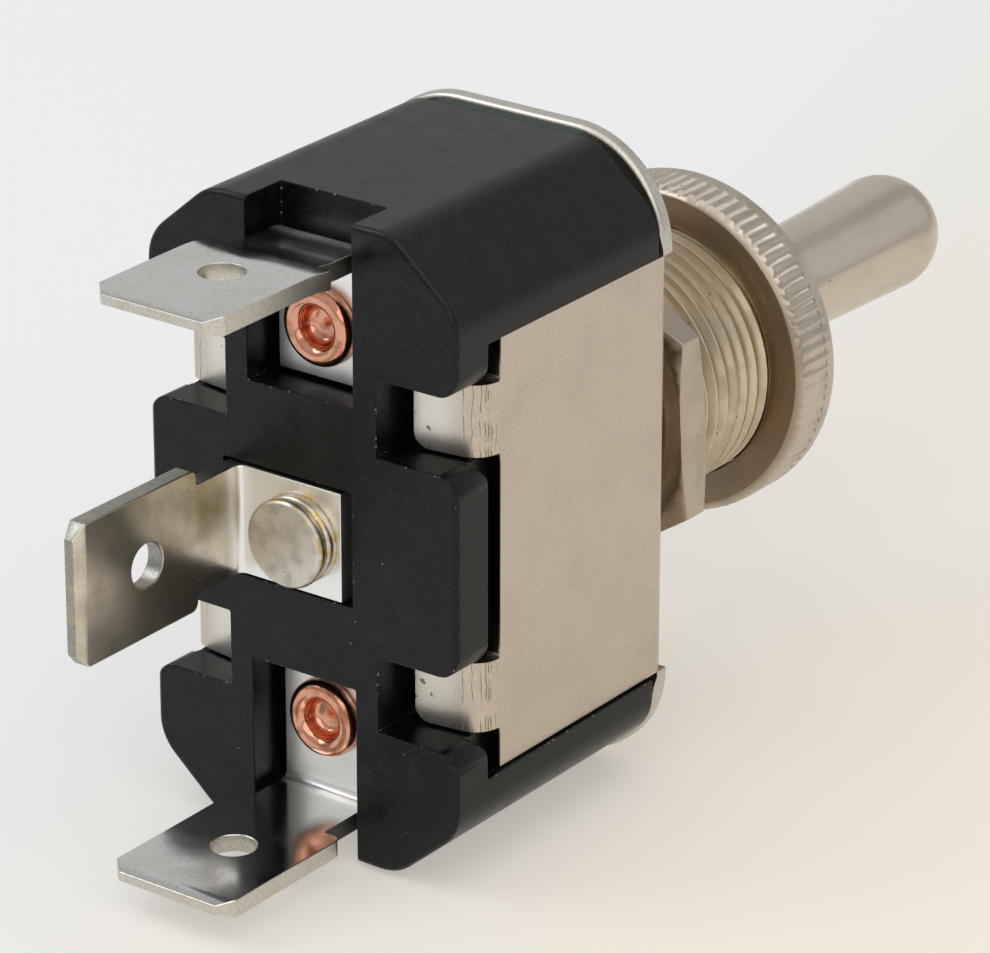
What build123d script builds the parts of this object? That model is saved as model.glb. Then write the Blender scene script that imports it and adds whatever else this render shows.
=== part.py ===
from build123d import *
import math
import os

# Panel toggle switch: one pole, two throws, centre off, with push-on tabs at the rear.
# Frame: +Y along the bushing towards the handle, +Z up along the body, +X across it.
# Origin: on the bushing axis, at the front face of the folded frame. Sizes in millimetres.
# A depth is a distance behind that front face, so it lies at y = -depth.

os.makedirs("parts", exist_ok=True)

# Moulded body
body_width = 16.0
body_length = 28.6
body_depth = 15.35
corner_run_x = 3.25
corner_run_z = 2.8
body_edge_round = 2.2
rear_edge_round = 0.25
rear_wall = 1.75
cavity_end_wall = 3.0
cavity_side_gap = 1.2
cavity_corner = 1.0
lip_relief_gap = 0.2

# Folded frame, cut from one sheet
sheet = 0.65
frame_setback = 0.2
frame_overhang = 0.2
frame_corner = 4.8
fold_inner_round = 0.15
side_plate_end = 4.7
side_plate_setback = 3.25
side_recess_margin = 0.1
rib_gap = 1.1
rib_corner = 0.8

# Crimped tabs of the frame and the notches that take them
crimp_width = 3.15
crimp_end_margin = 1.85
crimp_setback = 1.95
crimp_reach = 3.3
crimp_inner_round = 0.55
crimp_end_round = 0.7
notch_end_gap = 0.58
notch_margin = 0.12
notch_corner = 1.0

# Fibre liner between the frame and the body
liner_thickness = 0.6
liner_edge_gap = 0.2

# Bushing, with ring grooves at the pitch of its thread
bushing_diameter = 11.9
bushing_length = 12.7
bushing_chamfer = 0.5
thread_pitch = 25.4 / 32
thread_depth = 0.43
thread_crest = 0.12
bushing_shoulder = 0.95
lip_reach = 0.5
lip_thickness = 0.65
waist_half_length = 2.2
mouth_land = 0.91
bore_mouth_margin = 0.35
bore_rear_margin = 0.3

# Nuts on the bushing
hex_nut_wall = 1.05
hex_nut_thickness = 1.9
hex_nut_y = 2.07
hex_nut_turn = 3.0
nut_chamfer = 0.35
face_nut_wall = 1.8
face_nut_thickness = 2.9
face_nut_inset = 2.3

# Toggle lever and its pivot
pivot_y = 5.0
ball_diameter = 7.0
handle_tip_diameter = 5.55
handle_length = 31.6
neck_diameter = 4.2
stem_diameter = 5.2
stem_bore = 3.4
spring_seat_y = 3.5
pivot_pin_diameter = 1.6
pivot_pin_reach = 0.7

# Plunger and its spring, inside the lever's stem
plunger_length = 5.5
plunger_tip_length = 2.0
plunger_bare_length = 3.3
plunger_gap = 0.1
plunger_tip_diameter = 2.0
spring_wire = 0.44
spring_diameter = 2.84
spring_coils = 4

# Rocking contact arm
rocker_height = 3.4
rocker_ratio = 0.5
rocker_width = 4.4
rocker_thickness = 0.8
rocker_end_margin = 1.33
saddle_margin = 0.7
saddle_flank = 0.9
trunnion_diameter = 1.0
trunnion_length = 1.3

# Contacts, at one distance from each end of the body
contact_inset = 5.43
contact_diameter = 3.0
contact_dome = 6.0
moving_contact_height = 0.6
closed_gap = 0.05

# Cradle that carries the rocker's trunnions
cradle_sheet = 0.8
cradle_length = 4.4
ear_gap = 0.4
ear_length = 3.0
ear_top = 0.5

# Push-on tabs: the outer two stand flat across the body, the common one upright
strip = 0.81
tab_width = 6.35
tab_length = 7.6
tab_reach = 9.2
tab_end_inset = 1.15
tab_hole_diameter = 1.95
tab_hole_from_tip = 4.4
tip_corner = 0.65
shoulder_round = 0.4
tip_bevel = 0.2
tip_bevel_run = 0.6
strip_bend = 0.35
leg_width = 4.6
leg_end_margin = 2.37
slot_margin_x = 0.43
slot_margin_z = 0.19
slot_depth = 2.4
common_leg_width = 4.9
common_leg_end_x = 2.15
common_tab_x = 3.17
common_tab_reach = 10.5
common_recess_depth = 0.7
common_recess_margin = 0.12
common_recess_end_gap = 0.45

# Copper rivets of the outer tabs and the post of the common tab
rivet_diameter = 2.2
rivet_inner_head = 4.2
rivet_inner_height = 0.7
rivet_rolled_head = 3.5
rivet_rolled_height = 0.66
rivet_bead_round = 0.45
rivet_hollow_depth = 0.5
rivet_hollow_dish = 0.15
post_diameter = 2.6
post_head_diameter = 3.9
post_head_height = 1.14
post_groove = 0.15
post_inner_height = 0.55

# Clearances
turning_clearance = 0.05
sliding_clearance = 0.08
seat_clearance = 0.02
ball_clearance = 0.1
side_clearance = 0.2

# Places worked out from the sizes above
rear_y = -body_depth
body_front_y = -(sheet + liner_thickness)
slot_floor_y = rear_y + slot_depth
cavity_floor_y = slot_floor_y + rear_wall
recess_floor_y = rear_y + common_recess_depth
cavity_width = rocker_width + 2 * (ear_gap + cradle_sheet + cavity_side_gap)
cavity_length = body_length - 2 * cavity_end_wall
frame_width = body_width - 2 * frame_setback
frame_length = body_length + 2 * frame_overhang
fold_round = sheet + fold_inner_round
side_plate_length = body_length - 2 * side_plate_end
side_plate_depth = body_depth - side_plate_setback
recess_x = frame_width / 2 - sheet - seat_clearance
crimp_inner_z = side_plate_length / 2 - crimp_end_margin - crimp_width
crimp_depth = body_depth - crimp_setback
crimp_end_x = frame_width / 2 - crimp_reach
crimp_round = sheet + crimp_inner_round
notch_floor_y = -(crimp_depth - sheet)
notch_inner_x = crimp_end_x - notch_end_gap
contact_z = body_length / 2 - contact_inset
leg_inner_z = contact_z - leg_end_margin
tab_outer_z = body_length / 2 - tab_end_inset
tab_tip_depth = body_depth + tab_reach
common_tip_depth = body_depth + common_tab_reach
bushing_radius = bushing_diameter / 2
thread_root_radius = bushing_radius - thread_depth
spigot_radius = bushing_radius - bushing_shoulder
lip_radius = spigot_radius + lip_reach
lip_relief_depth = lip_thickness + lip_relief_gap
hex_nut_flats = bushing_diameter + 2 * hex_nut_wall
face_nut_radius = bushing_radius + face_nut_wall
face_nut_y = bushing_length - face_nut_inset
ball_radius = ball_diameter / 2
handle_radius = handle_tip_diameter / 2
neck_radius = neck_diameter / 2
pin_radius = pivot_pin_diameter / 2
pivot_pin_length = ball_diameter + 2 * pivot_pin_reach
stem_radius = stem_diameter / 2
tip_radius = plunger_tip_diameter / 2
rocker_y = cavity_floor_y + rocker_height
plunger_tip_depth = -rocker_y - rocker_thickness / 2 - plunger_gap
plunger_body_depth = plunger_tip_depth - plunger_tip_length
plunger_head_depth = plunger_tip_depth - plunger_length
stem_depth = plunger_tip_depth - plunger_bare_length
rocker_half_length = contact_z + rocker_end_margin
cradle_top_y = cavity_floor_y + cradle_sheet

# The throw ends where the handle would meet the mouth of the bushing's bore, less a margin
mouth_radius = bushing_radius - bushing_chamfer - mouth_land
mouth_reach = bushing_length - pivot_y
handle_taper = (handle_radius - neck_radius) / (handle_length - pivot_y - ball_radius)
handle_at_mouth = neck_radius + handle_taper * mouth_reach
free_mouth = mouth_radius - bore_mouth_margin
throw_angle = math.acos(handle_at_mouth / math.hypot(free_mouth, mouth_reach))
throw_angle -= math.atan2(mouth_reach, free_mouth)
rocker_angle = throw_angle * rocker_ratio


def body_outline(width, length):
    """Points of the body's eight-sided section, as (x, z)."""
    x, z = width / 2, length / 2
    quarter = [(x, z - corner_run_z), (x - corner_run_x, z)]
    half = quarter + [(-px, pz) for px, pz in reversed(quarter)]
    return half + [(-px, -pz) for px, pz in half]


def near(value, target):
    return abs(abs(value) - target) < 0.01


# Housing: one black moulding, open to the front, with slots and notches in its rear face
with BuildPart() as housing:
    with BuildSketch(Plane.XZ.offset(-body_front_y)):
        with BuildLine():
            Polyline(*body_outline(body_width, body_length), close=True)
        make_face()
    extrude(amount=body_front_y - rear_y)
    fillet(housing.edges().filter_by(Axis.Y), body_edge_round)
    fillet(housing.faces().sort_by(Axis.Y)[0].edges(), rear_edge_round)
    # Cavity for the mechanism, and a round relief for the bushing's rolled lip
    with BuildSketch(Plane.XZ.offset(-body_front_y)):
        RectangleRounded(cavity_width, cavity_length, cavity_corner)
    extrude(amount=body_front_y - cavity_floor_y, mode=Mode.SUBTRACT)
    with BuildSketch(Plane.XZ.offset(-body_front_y)):
        Circle(lip_radius + side_clearance)
    extrude(amount=lip_relief_depth, mode=Mode.SUBTRACT)
    # Flat recesses for the side plates of the frame
    recess_rear_y = -(side_plate_depth + rib_gap)
    recess_length = side_plate_length + 2 * side_recess_margin
    for side in (1, -1):
        with BuildSketch(Plane.XZ.offset(-body_front_y)):
            with Locations((side * (recess_x + body_width / 2), 0)):
                Rectangle(body_width, recess_length)
        extrude(amount=body_front_y - recess_rear_y, mode=Mode.SUBTRACT)
    # Notches that the frame's tabs are crimped into
    notch_low = crimp_inner_z - notch_margin
    notch_high = crimp_inner_z + crimp_width + notch_margin
    for side in (1, -1):
        for low in (notch_low, -notch_high):
            with BuildSketch(Plane.XY.offset(low)):
                with BuildLine():
                    floor = FilletPolyline(
                        (side * notch_inner_x, rear_y - sheet),
                        (side * notch_inner_x, notch_floor_y),
                        (side * recess_x, notch_floor_y),
                        (side * recess_x, recess_rear_y + 2 * sheet),
                        radius=crimp_inner_round,
                    )
                    outside = (side * body_width, recess_rear_y + 2 * sheet)
                    behind = (side * body_width, rear_y - sheet)
                    Polyline(floor @ 1, outside, behind, floor @ 0)
                make_face()
            extrude(amount=notch_high - notch_low, mode=Mode.SUBTRACT)
    rib_edges = [
        edge
        for edge in housing.edges().filter_by(Axis.X)
        if near(edge.center().Y, -recess_rear_y)
        and (near(edge.center().Z, notch_low) or near(edge.center().Z, notch_high))
    ]
    fillet(rib_edges, rib_corner)
    # Rounded corners of the blocks beside the notches, on the side walls
    wall_x = body_width / 2
    arc_inset = notch_corner * (1 - math.sqrt(0.5))
    for side in (1, -1):
        for end in (1, -1):
            for corner_z, away in ((notch_low, -1), (notch_high, 1)):
                on_wall = (side * wall_x, end * (corner_z + away * notch_corner))
                on_notch = (side * (wall_x - notch_corner), end * corner_z)
                on_arc = (side * (wall_x - arc_inset), end * (corner_z + away * arc_inset))
                beside_notch = (side * body_width, end * corner_z)
                beside_wall = (side * body_width, end * (corner_z + away * notch_corner))
                with BuildSketch(Plane.XZ.offset(body_depth)):
                    with BuildLine():
                        ThreePointArc(on_wall, on_arc, on_notch)
                        Polyline(on_notch, beside_notch, beside_wall, on_wall)
                    make_face()
                extrude(amount=-(body_depth + recess_rear_y), mode=Mode.SUBTRACT)
    # Slots for the outer tabs, open to the body's ends, with their rivet holes
    slot_inner_z = leg_inner_z - slot_margin_z
    for side in (1, -1):
        with BuildSketch(Plane.XZ.offset(body_depth)):
            with Locations((0, side * (slot_inner_z + body_length / 2))):
                Rectangle(leg_width + 2 * slot_margin_x, body_length)
        extrude(amount=-slot_depth, mode=Mode.SUBTRACT)
        with BuildSketch(Plane.XZ.offset(body_depth)):
            with Locations((0, side * contact_z)):
                Circle(rivet_diameter / 2 + seat_clearance)
        extrude(amount=-body_depth / 2, mode=Mode.SUBTRACT)
    # Shallow recess for the common tab's leg, with the hole for its post
    common_recess_low = -(common_tab_x + strip + common_recess_margin)
    common_recess_high = common_leg_end_x + common_recess_end_gap
    with BuildSketch(Plane.XZ.offset(body_depth)):
        with Locations(((common_recess_low + common_recess_high) / 2, 0)):
            Rectangle(
                common_recess_high - common_recess_low,
                common_leg_width + 2 * common_recess_margin,
            )
    extrude(amount=-common_recess_depth, mode=Mode.SUBTRACT)
    with BuildSketch(Plane.XZ.offset(body_depth)):
        Circle(post_diameter / 2 + seat_clearance)
    extrude(amount=-body_depth / 2, mode=Mode.SUBTRACT)
housing.part.label = "housing"
export_step(housing.part, "parts/housing.step")

# Frame: one plated sheet, folded over the body's sides, with four tabs crimped at the rear
with BuildPart() as frame:
    with BuildSketch(Plane.XZ):
        RectangleRounded(frame_width, frame_length, frame_corner)
        Rectangle(frame_width, side_plate_length, mode=Mode.SUBTRACT)
    extrude(amount=sheet)
    half_width = frame_width / 2
    with BuildSketch(Plane.XY):
        with BuildLine():
            outer = FilletPolyline(
                (-half_width, -side_plate_depth),
                (-half_width, 0),
                (half_width, 0),
                (half_width, -side_plate_depth),
                radius=fold_round,
            )
            inner = FilletPolyline(
                (sheet - half_width, -side_plate_depth),
                (sheet - half_width, -sheet),
                (half_width - sheet, -sheet),
                (half_width - sheet, -side_plate_depth),
                radius=fold_inner_round,
            )
            Line(outer @ 0, inner @ 0)
            Line(outer @ 1, inner @ 1)
        make_face()
    extrude(amount=side_plate_length / 2, both=True)
    with BuildSketch(Plane.XZ):
        Circle(spigot_radius + seat_clearance)
    extrude(amount=sheet, mode=Mode.SUBTRACT)
    crimp_start_y = sheet - side_plate_depth
    for side in (1, -1):
        for low in (crimp_inner_z, -(crimp_inner_z + crimp_width)):
            with BuildSketch(Plane.XY.offset(low)):
                with BuildLine():
                    outer = FilletPolyline(
                        (side * half_width, crimp_start_y),
                        (side * half_width, -crimp_depth),
                        (side * crimp_end_x, -crimp_depth),
                        radius=crimp_round,
                    )
                    inner = FilletPolyline(
                        (side * (half_width - sheet), crimp_start_y),
                        (side * (half_width - sheet), notch_floor_y),
                        (side * crimp_end_x, notch_floor_y),
                        radius=crimp_inner_round,
                    )
                    Line(outer @ 0, inner @ 0)
                    Line(outer @ 1, inner @ 1)
                make_face()
            extrude(amount=crimp_width)
    crimp_ends = [
        edge
        for edge in frame.edges().filter_by(Axis.Y)
        if near(edge.center().X, crimp_end_x)
    ]
    fillet(crimp_ends, crimp_end_round)
frame.part.label = "frame"
export_step(frame.part, "parts/frame.step")

# Fibre liner: an insulating card between the frame's front plate and the body
with BuildPart() as fibre_liner:
    with BuildSketch(Plane.XZ.offset(sheet)):
        with BuildLine():
            liner_width = 2 * (recess_x - liner_edge_gap)
            Polyline(*body_outline(liner_width, body_length), close=True)
        make_face()
        Circle(spigot_radius + seat_clearance, mode=Mode.SUBTRACT)
    extrude(amount=liner_thickness)
fibre_liner.part.label = "fibre_liner"
export_step(fibre_liner.part, "parts/fibre_liner.step")

# Bushing: a grooved barrel rolled over behind the frame and the liner, with a waisted bore
with BuildPart() as bushing:
    lip_rear_y = body_front_y - lip_thickness
    rear_reach = pivot_y - lip_rear_y
    rear_radius = stem_radius / math.cos(throw_angle)
    rear_radius += rear_reach * math.tan(throw_angle) + bore_rear_margin
    waist_radius = ball_radius + ball_clearance
    groove_half = (thread_pitch - thread_crest) / 2
    groove_count = int((bushing_length - bushing_chamfer) / thread_pitch)
    groove_points = []
    for groove in range(groove_count):
        middle_y = (groove + 0.5) * thread_pitch + thread_crest
        groove_points += [
            (bushing_radius, middle_y - groove_half),
            (thread_root_radius, middle_y),
            (bushing_radius, middle_y + groove_half),
        ]
    with BuildSketch(Plane.XY):
        with BuildLine():
            Polyline(
                (rear_radius, lip_rear_y),
                (lip_radius, lip_rear_y),
                (lip_radius, body_front_y),
                (spigot_radius, body_front_y),
                (spigot_radius, 0),
                (bushing_radius, 0),
                *groove_points,
                (bushing_radius, bushing_length - bushing_chamfer),
                (bushing_radius - bushing_chamfer, bushing_length),
                (mouth_radius, bushing_length),
                (waist_radius, pivot_y + waist_half_length),
                (waist_radius, pivot_y - waist_half_length),
                close=True,
            )
        make_face()
    revolve(axis=Axis.Y)
    # Slots in the bore that the pivot pin drops into from the rear
    pin_slot_length = pivot_pin_length + 2 * side_clearance
    with BuildSketch(Plane.YZ):
        with Locations((pivot_y, 0)):
            Circle(pin_radius + turning_clearance)
        with Locations(((pivot_y + lip_rear_y) / 2, 0)):
            Rectangle(pivot_y - lip_rear_y, pivot_pin_diameter + 2 * turning_clearance)
    extrude(amount=pin_slot_length / 2, both=True, mode=Mode.SUBTRACT)
bushing.part.label = "bushing"
export_step(bushing.part, "parts/bushing.step")

# Hexagon nut: sits behind the panel, loose on the bushing's thread
nut_bore_radius = bushing_radius + turning_clearance
with BuildPart() as hex_nut:
    hex_radius = hex_nut_flats / math.sqrt(3)
    with BuildSketch(Plane.XZ.offset(-hex_nut_y)):
        RegularPolygon(hex_radius, 6, rotation=30 + hex_nut_turn)
        Circle(nut_bore_radius, mode=Mode.SUBTRACT)
    extrude(amount=-hex_nut_thickness)
    with BuildSketch(Plane.XY):
        with BuildLine():
            hex_front_y = hex_nut_y + hex_nut_thickness
            Polyline(
                (0, hex_nut_y),
                (hex_nut_flats / 2, hex_nut_y),
                (hex_radius, hex_nut_y + nut_chamfer),
                (hex_radius, hex_front_y - nut_chamfer),
                (hex_nut_flats / 2, hex_front_y),
                (0, hex_front_y),
                close=True,
            )
        make_face()
    revolve(axis=Axis.Y, mode=Mode.INTERSECT)
hex_nut.part.label = "hex_nut"
export_step(hex_nut.part, "parts/hex_nut.step")

# Face nut: round, with a knurled rim, clamps the panel from the front
with BuildPart() as face_nut:
    face_front_y = face_nut_y + face_nut_thickness
    with BuildSketch(Plane.XY):
        with BuildLine():
            Polyline(
                (nut_bore_radius, face_nut_y),
                (face_nut_radius - nut_chamfer, face_nut_y),
                (face_nut_radius, face_nut_y + nut_chamfer),
                (face_nut_radius, face_front_y - nut_chamfer),
                (face_nut_radius - nut_chamfer, face_front_y),
                (nut_bore_radius, face_front_y),
                close=True,
            )
        make_face()
    revolve(axis=Axis.Y)
face_nut.part.label = "face_nut"
export_step(face_nut.part, "parts/face_nut.step")

# Toggle lever: a turned bat handle, a ball at the pivot, and a bored stem inside the body
with BuildPart() as toggle_lever:
    handle_end_y = handle_length - handle_radius
    neck_y = pivot_y + math.sqrt(ball_radius**2 - neck_radius**2)
    stem_top_y = pivot_y - math.sqrt(ball_radius**2 - stem_radius**2)
    with BuildSketch(Plane.XY):
        with BuildLine():
            CenterArc((0, handle_end_y), handle_radius, 0, 90)
            Line((handle_radius, handle_end_y), (neck_radius, neck_y))
            ThreePointArc((neck_radius, neck_y), (ball_radius, pivot_y), (stem_radius, stem_top_y))
            Polyline(
                (stem_radius, stem_top_y),
                (stem_radius, -stem_depth),
                (stem_bore / 2, -stem_depth),
                (stem_bore / 2, spring_seat_y),
                (0, spring_seat_y),
                (0, handle_length),
            )
        make_face()
    revolve(axis=Axis.Y)
    with BuildSketch(Plane.YZ):
        with Locations((pivot_y, 0)):
            Circle(pin_radius + seat_clearance)
    extrude(amount=ball_diameter, both=True, mode=Mode.SUBTRACT)
toggle_lever.part.label = "toggle_lever"
export_step(toggle_lever.part, "parts/toggle_lever.step")

# Pivot pin: pressed through the lever's ball, turns in the bushing's slots
with BuildPart() as pivot_pin:
    with BuildSketch(Plane.YZ):
        with Locations((pivot_y, 0)):
            Circle(pin_radius)
    extrude(amount=pivot_pin_length / 2, both=True)
pivot_pin.part.label = "pivot_pin"
export_step(pivot_pin.part, "parts/pivot_pin.step")

# Plunger: an insulating peg that slides in the stem and presses on the rocker
plunger_radius = stem_bore / 2 - sliding_clearance
tip_centre_y = tip_radius - plunger_tip_depth
with BuildPart() as plunger:
    with BuildSketch(Plane.XY):
        with BuildLine():
            Polyline(
                (0, -plunger_tip_depth),
                (0, -plunger_head_depth),
                (plunger_radius, -plunger_head_depth),
                (plunger_radius, -plunger_body_depth),
                (tip_radius, tip_centre_y),
            )
            CenterArc((0, tip_centre_y), tip_radius, 0, -90)
        make_face()
    revolve(axis=Axis.Y)
plunger.part.label = "plunger"
export_step(plunger.part, "parts/plunger.step")

# Plunger spring: a round wire coil between the stem's bore and the plunger
with BuildPart() as plunger_spring:
    spring_low_y = -plunger_head_depth + spring_wire / 2 + seat_clearance
    spring_height = spring_seat_y - seat_clearance - spring_wire / 2 - spring_low_y
    with BuildLine():
        coil = Helix(
            pitch=spring_height / spring_coils,
            height=spring_height,
            radius=(spring_diameter - spring_wire) / 2,
            center=(0, spring_low_y, 0),
            direction=(0, 1, 0),
        )
    with BuildSketch(Plane(origin=coil @ 0, z_dir=coil % 0)):
        Circle(spring_wire / 2)
    sweep(path=coil, is_frenet=True)
plunger_spring.part.label = "plunger_spring"
export_step(plunger_spring.part, "parts/plunger_spring.step")

# Rocker: a copper arm with a dished saddle that clears the plunger's tip all through the throw
with BuildPart() as rocker:
    half = rocker_thickness / 2
    tip_reach = pivot_y - tip_centre_y
    tip_rise = pivot_y - tip_reach * math.cos(throw_angle) - rocker_y
    tip_shift = tip_reach * math.sin(throw_angle)
    end_y = tip_rise * math.cos(rocker_angle) + tip_shift * math.sin(rocker_angle)
    end_z = tip_shift * math.cos(rocker_angle) - tip_rise * math.sin(rocker_angle)
    rise = end_y - (tip_centre_y - rocker_y)
    path_radius = (end_z**2 + rise**2) / (2 * rise)
    saddle_radius = path_radius + (tip_centre_y - rocker_y) - half
    saddle_half = end_z + saddle_margin
    rim = half + saddle_radius - math.sqrt(saddle_radius**2 - saddle_half**2)
    with BuildSketch(Plane.YZ):
        with BuildLine():
            ThreePointArc(
                (rocker_y + rim, -saddle_half),
                (rocker_y + half, 0),
                (rocker_y + rim, saddle_half),
            )
            Polyline(
                (rocker_y + rim, saddle_half),
                (rocker_y + half, saddle_half + saddle_flank),
                (rocker_y + half, rocker_half_length),
                (rocker_y - half, rocker_half_length),
                (rocker_y - half, -rocker_half_length),
                (rocker_y + half, -rocker_half_length),
                (rocker_y + half, -saddle_half - saddle_flank),
                (rocker_y + rim, -saddle_half),
            )
        make_face()
    extrude(amount=rocker_width / 2, both=True)
    with BuildSketch(Plane.YZ):
        with Locations((rocker_y, 0)):
            Circle(trunnion_diameter / 2)
    extrude(amount=rocker_width / 2 + trunnion_length, both=True)
rocker.part.label = "rocker"
export_step(rocker.part, "parts/rocker.step")

# Moving contacts: domed silver buttons on the rocker's arms
moving_base_y = rocker_y - half
moving_face_y = moving_base_y - moving_contact_height
contact_radius = contact_diameter / 2
dome_drop = contact_dome - math.sqrt(contact_dome**2 - contact_radius**2)
for place, side in (("upper", 1), ("lower", -1)):
    with BuildPart() as moving_contact:
        with BuildSketch(Plane.XY.offset(side * contact_z)):
            with BuildLine():
                RadiusArc(
                    (0, moving_face_y),
                    (contact_radius, moving_face_y + dome_drop),
                    -contact_dome,
                )
                Polyline(
                    (contact_radius, moving_face_y + dome_drop),
                    (contact_radius, moving_base_y),
                    (0, moving_base_y),
                    (0, moving_face_y),
                )
            make_face()
        revolve(axis=Axis((0, 0, side * contact_z), (0, 1, 0)))
    moving_contact.part.label = f"{place}_rocker_contact"
    export_step(moving_contact.part, f"parts/{place}_rocker_contact.step")

# Cradle: a bent brass strip whose two ears hold the rocker's trunnions in open notches
with BuildPart() as cradle:
    ear_inner_x = rocker_width / 2 + ear_gap
    cradle_half_width = ear_inner_x + cradle_sheet
    ear_top_y = rocker_y + ear_top
    with BuildSketch(Plane.XZ.offset(-cavity_floor_y)):
        Rectangle(2 * cradle_half_width, cradle_length)
        Circle(post_diameter / 2 + seat_clearance, mode=Mode.SUBTRACT)
    extrude(amount=-cradle_sheet)
    for side in (1, -1):
        with BuildSketch(Plane.YZ.offset(side * ear_inner_x)):
            with Locations(((cavity_floor_y + ear_top_y) / 2, 0)):
                Rectangle(ear_top_y - cavity_floor_y, ear_length)
            notch_radius = trunnion_diameter / 2 + turning_clearance
            with Locations((rocker_y, 0)):
                Circle(notch_radius, mode=Mode.SUBTRACT)
            with Locations((rocker_y + ear_top, 0)):
                Rectangle(2 * ear_top, 2 * notch_radius, mode=Mode.SUBTRACT)
        extrude(amount=side * cradle_sheet)
cradle.part.label = "cradle"
export_step(cradle.part, "parts/cradle.step")

# Rivets: tubular copper, headed inside the cavity and rolled over on the outer tabs
leg_rear_y = slot_floor_y - strip
rivet_inner_y = cavity_floor_y + rivet_inner_height
for place, side in (("upper", 1), ("lower", -1)):
    with BuildPart() as rivet:
        with BuildSketch(Plane.XY.offset(side * contact_z)):
            with BuildLine():
                head_radius = rivet_rolled_head / 2
                bead_y = leg_rear_y - rivet_rolled_height + rivet_bead_round
                hollow_radius = head_radius - 2 * rivet_bead_round
                floor_y = bead_y + rivet_hollow_depth
                dish_edge_y = floor_y - rivet_hollow_dish
                Polyline(
                    (0, floor_y),
                    (0, rivet_inner_y),
                    (rivet_inner_head / 2, rivet_inner_y),
                    (rivet_inner_head / 2, cavity_floor_y),
                    (rivet_diameter / 2, cavity_floor_y),
                    (rivet_diameter / 2, leg_rear_y),
                    (head_radius, leg_rear_y),
                    (head_radius, bead_y),
                )
                CenterArc((head_radius - rivet_bead_round, bead_y), rivet_bead_round, 0, -180)
                Line((hollow_radius, bead_y), (hollow_radius, dish_edge_y))
                RadiusArc(
                    (hollow_radius, dish_edge_y),
                    (0, floor_y),
                    -(hollow_radius**2 + rivet_hollow_dish**2) / (2 * rivet_hollow_dish),
                )
            make_face()
        revolve(axis=Axis((0, 0, side * contact_z), (0, 1, 0)))
    rivet.part.label = f"{place}_rivet"
    export_step(rivet.part, f"parts/{place}_rivet.step")

# Fixed contacts: silver buttons on the rivets' inner heads, just clear of the thrown rocker
dome_centre_y = moving_face_y + contact_dome - rocker_y
thrown_y = dome_centre_y * math.cos(rocker_angle) - contact_z * math.sin(rocker_angle)
fixed_face_y = rocker_y + thrown_y - contact_dome - closed_gap
for place, side in (("upper", 1), ("lower", -1)):
    with BuildPart() as fixed_contact:
        with BuildSketch(Plane.XZ.offset(-rivet_inner_y)):
            with Locations((0, side * contact_z)):
                Circle(contact_radius)
        extrude(amount=-(fixed_face_y - rivet_inner_y))
    fixed_contact.part.label = f"{place}_fixed_contact"
    export_step(fixed_contact.part, f"parts/{place}_fixed_contact.step")

# Outer terminals: bent tinned strip, riveted in the end slots, with a push-on tab each
tip_y = -tab_tip_depth
shoulder_y = tip_y + tab_length
tab_inner_z = tab_outer_z - strip
for place, side in (("upper", 1), ("lower", -1)):
    with BuildPart() as terminal:
        with BuildSketch(Plane.YZ):
            with BuildLine():
                outer = FilletPolyline(
                    (slot_floor_y, side * leg_inner_z),
                    (slot_floor_y, side * tab_outer_z),
                    (tip_y, side * tab_outer_z),
                    radius=strip_bend + strip,
                )
                inner = FilletPolyline(
                    (leg_rear_y, side * leg_inner_z),
                    (leg_rear_y, side * tab_inner_z),
                    (tip_y, side * tab_inner_z),
                    radius=strip_bend,
                )
                Line(outer @ 0, inner @ 0)
                Line(outer @ 1, inner @ 1)
            make_face()
        extrude(amount=tab_width / 2, both=True)
        tip_face = terminal.faces().sort_by(Axis.Y)[0]
        chamfer(tip_face.edges().filter_by(Axis.X), tip_bevel, tip_bevel_run, reference=tip_face)
        # The leg and the neck are narrower than the tab, which ends in square shoulders
        for edge in (1, -1):
            with BuildSketch(Plane.YZ.offset(edge * leg_width / 2)):
                with Locations((shoulder_y + body_depth / 2, side * tab_outer_z / 2)):
                    Rectangle(body_depth, 2 * tab_outer_z)
            extrude(amount=edge * tab_width, mode=Mode.SUBTRACT)
        corner_edges = [
            edge
            for edge in terminal.edges().filter_by(Axis.Z)
            if near(edge.center().Y, tab_tip_depth)
        ]
        chamfer(corner_edges, tip_corner)
        shoulder_edges = [
            edge
            for edge in terminal.edges().filter_by(Axis.Z)
            if near(edge.center().Y, -shoulder_y) and near(edge.center().X, tab_width / 2)
        ]
        fillet(shoulder_edges, shoulder_round)
        with BuildSketch(Plane.XY):
            with Locations((0, tip_y + tab_hole_from_tip)):
                Circle(tab_hole_diameter / 2)
        extrude(amount=side * body_length, mode=Mode.SUBTRACT)
        with BuildSketch(Plane.XZ):
            with Locations((0, side * contact_z)):
                Circle(rivet_diameter / 2 + seat_clearance)
        extrude(amount=body_depth, mode=Mode.SUBTRACT)
    terminal.part.label = f"{place}_terminal"
    export_step(terminal.part, f"parts/{place}_terminal.step")

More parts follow.
